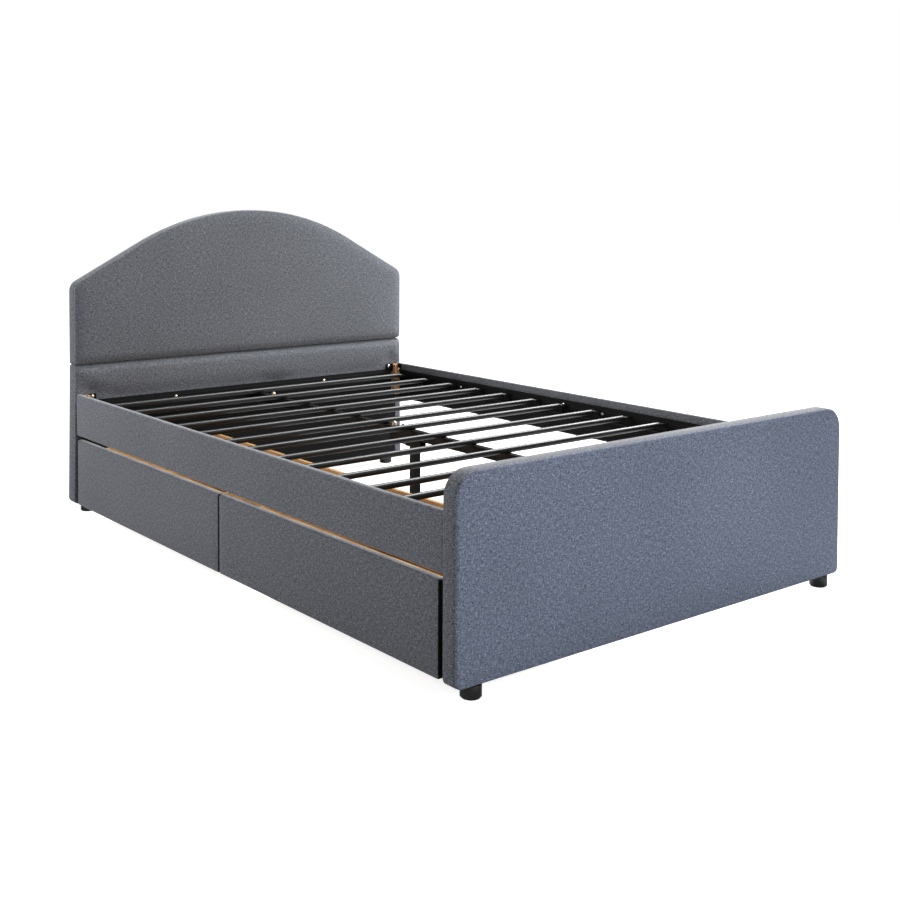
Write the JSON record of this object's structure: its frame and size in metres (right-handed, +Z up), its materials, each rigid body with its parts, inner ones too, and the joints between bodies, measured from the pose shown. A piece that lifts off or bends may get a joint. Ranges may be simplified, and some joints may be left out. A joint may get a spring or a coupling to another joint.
{
  "type": "platform bed with storage drawers",
  "caption": "Upholstered platform bed with an arched headboard, low rounded footboard, black tubular slat base and rolling storage drawers along one side.",
  "frame": {"origin": "on the floor under the middle of the bed's footprint", "axes": "+Z up from the floor; +Y from the footboard to the headboard; +X to the right seen from the foot end, away from the drawers"},
  "size_m": [1.43, 2.116, 1.051],
  "materials": {
    "grey_fabric": "melange grey linen-look upholstery over foam",
    "grey_fabric_lining": "same grey cloth, stretched flat over the back of a panel",
    "black_cloth": "black non-woven lining cloth",
    "black_steel": "semi-gloss black powder coat",
    "caster_steel": "pressed steel, dark zinc",
    "zinc_steel": "bright zinc-plated",
    "bare_board": "raw plywood, unpainted",
    "corner_wood": "sawn softwood",
    "frame_board": "raw panel under the upholstery",
    "black_plastic": "matte black moulded plastic",
    "caster_plastic": "hard black nylon"
  },
  "bodies": {
    "frame": {"bed_feet": "black_plastic", "centre_beam_foot": "black_steel", "centre_beam_head": "black_steel", "centre_beam_splice": "black_steel", "centre_leg": "black_steel", "centre_leg_glide": "black_plastic", "corner_blocks": "corner_wood", "corner_brackets": "black_steel", "cross_bars": "black_steel", "footboard_front_pad": "grey_fabric", "footboard_inner_cover": "grey_fabric_lining", "footboard_panel": "frame_board", "frame_bolts": "zinc_steel", "headboard_inner_lining": "black_cloth", "headboard_lower_pad": "grey_fabric", "headboard_panel": "frame_board", "headboard_rear_cover": "grey_fabric_lining", "headboard_upper_pad": "grey_fabric", "left_rail_board": "frame_board", "left_rail_cover": "grey_fabric", "left_side_angles": "black_steel", "rail_linings": "black_cloth", "right_rail_board": "frame_board", "right_rail_cover": "grey_fabric", "right_side_angles": "black_steel", "slat_01": "black_steel", "slat_02": "black_steel", "slat_03": "black_steel", "slat_04": "black_steel", "slat_05": "black_steel", "slat_06": "black_steel", "slat_07": "black_steel", "slat_08": "black_steel", "slat_09": "black_steel", "slat_10": "black_steel", "slat_11": "black_steel", "slat_12": "black_steel", "slat_13": "black_steel"},
    "head_drawer": {"head_drawer_box_back": "bare_board", "head_drawer_box_bottom": "bare_board", "head_drawer_box_front": "bare_board", "head_drawer_box_sides": "bare_board", "head_drawer_caster_forks": "caster_steel", "head_drawer_front_board": "frame_board", "head_drawer_front_cover": "grey_fabric"},
    "foot_drawer": {"foot_drawer_box_back": "bare_board", "foot_drawer_box_bottom": "bare_board", "foot_drawer_box_front": "bare_board", "foot_drawer_box_sides": "bare_board", "foot_drawer_caster_forks": "caster_steel", "foot_drawer_front_board": "frame_board", "foot_drawer_front_cover": "grey_fabric"},
    "foot_drawer_back_foot_wheel": {"foot_drawer_back_foot_wheel": "caster_plastic"},
    "foot_drawer_back_head_wheel": {"foot_drawer_back_head_wheel": "caster_plastic"},
    "foot_drawer_front_foot_wheel": {"foot_drawer_front_foot_wheel": "caster_plastic"},
    "foot_drawer_front_head_wheel": {"foot_drawer_front_head_wheel": "caster_plastic"},
    "head_drawer_back_foot_wheel": {"head_drawer_back_foot_wheel": "caster_plastic"},
    "head_drawer_back_head_wheel": {"head_drawer_back_head_wheel": "caster_plastic"},
    "head_drawer_front_foot_wheel": {"head_drawer_front_foot_wheel": "caster_plastic"},
    "head_drawer_front_head_wheel": {"head_drawer_front_head_wheel": "caster_plastic"}
  },
  "joints": [
    {"name": "foot_drawer_slide", "type": "slide", "parent": "frame", "child": "foot_drawer", "axis": [-1, 0, 0], "range_m": [0, 0.42]},
    {"name": "foot_drawer_front_foot_wheel_roll", "type": "hinge", "parent": "foot_drawer", "child": "foot_drawer_front_foot_wheel", "pos_m": [-0.574, -0.904, 0.018], "axis": [0, 1, 0], "range_deg": [-1340, 0]},
    {"name": "foot_drawer_front_head_wheel_roll", "type": "hinge", "parent": "foot_drawer", "child": "foot_drawer_front_head_wheel", "pos_m": [-0.574, -0.239, 0.018], "axis": [0, 1, 0], "range_deg": [-1340, 0]},
    {"name": "foot_drawer_back_foot_wheel_roll", "type": "hinge", "parent": "foot_drawer", "child": "foot_drawer_back_foot_wheel", "pos_m": [-0.31, -0.904, 0.018], "axis": [0, 1, 0], "range_deg": [-1340, 0]},
    {"name": "foot_drawer_back_head_wheel_roll", "type": "hinge", "parent": "foot_drawer", "child": "foot_drawer_back_head_wheel", "pos_m": [-0.31, -0.239, 0.018], "axis": [0, 1, 0], "range_deg": [-1340, 0]},
    {"name": "head_drawer_slide", "type": "slide", "parent": "frame", "child": "head_drawer", "axis": [-1, 0, 0], "range_m": [0, 0.42]},
    {"name": "head_drawer_front_foot_wheel_roll", "type": "hinge", "parent": "head_drawer", "child": "head_drawer_front_foot_wheel", "pos_m": [-0.574, 0.087, 0.018], "axis": [0, 1, 0], "range_deg": [-1340, 0]},
    {"name": "head_drawer_front_head_wheel_roll", "type": "hinge", "parent": "head_drawer", "child": "head_drawer_front_head_wheel", "pos_m": [-0.574, 0.752, 0.018], "axis": [0, 1, 0], "range_deg": [-1340, 0]},
    {"name": "head_drawer_back_foot_wheel_roll", "type": "hinge", "parent": "head_drawer", "child": "head_drawer_back_foot_wheel", "pos_m": [-0.31, 0.087, 0.018], "axis": [0, 1, 0], "range_deg": [-1340, 0]},
    {"name": "head_drawer_back_head_wheel_roll", "type": "hinge", "parent": "head_drawer", "child": "head_drawer_back_head_wheel", "pos_m": [-0.31, 0.752, 0.018], "axis": [0, 1, 0], "range_deg": [-1340, 0]}
  ],
  "couplings": [
    {"joint": "foot_drawer_front_foot_wheel_roll", "follows": "foot_drawer_slide", "rad_per_m": -55.556},
    {"joint": "foot_drawer_front_head_wheel_roll", "follows": "foot_drawer_slide", "rad_per_m": -55.556},
    {"joint": "foot_drawer_back_foot_wheel_roll", "follows": "foot_drawer_slide", "rad_per_m": -55.556},
    {"joint": "foot_drawer_back_head_wheel_roll", "follows": "foot_drawer_slide", "rad_per_m": -55.556},
    {"joint": "head_drawer_front_foot_wheel_roll", "follows": "head_drawer_slide", "rad_per_m": -55.556},
    {"joint": "head_drawer_front_head_wheel_roll", "follows": "head_drawer_slide", "rad_per_m": -55.556},
    {"joint": "head_drawer_back_foot_wheel_roll", "follows": "head_drawer_slide", "rad_per_m": -55.556},
    {"joint": "head_drawer_back_head_wheel_roll", "follows": "head_drawer_slide", "rad_per_m": -55.556}
  ]
}
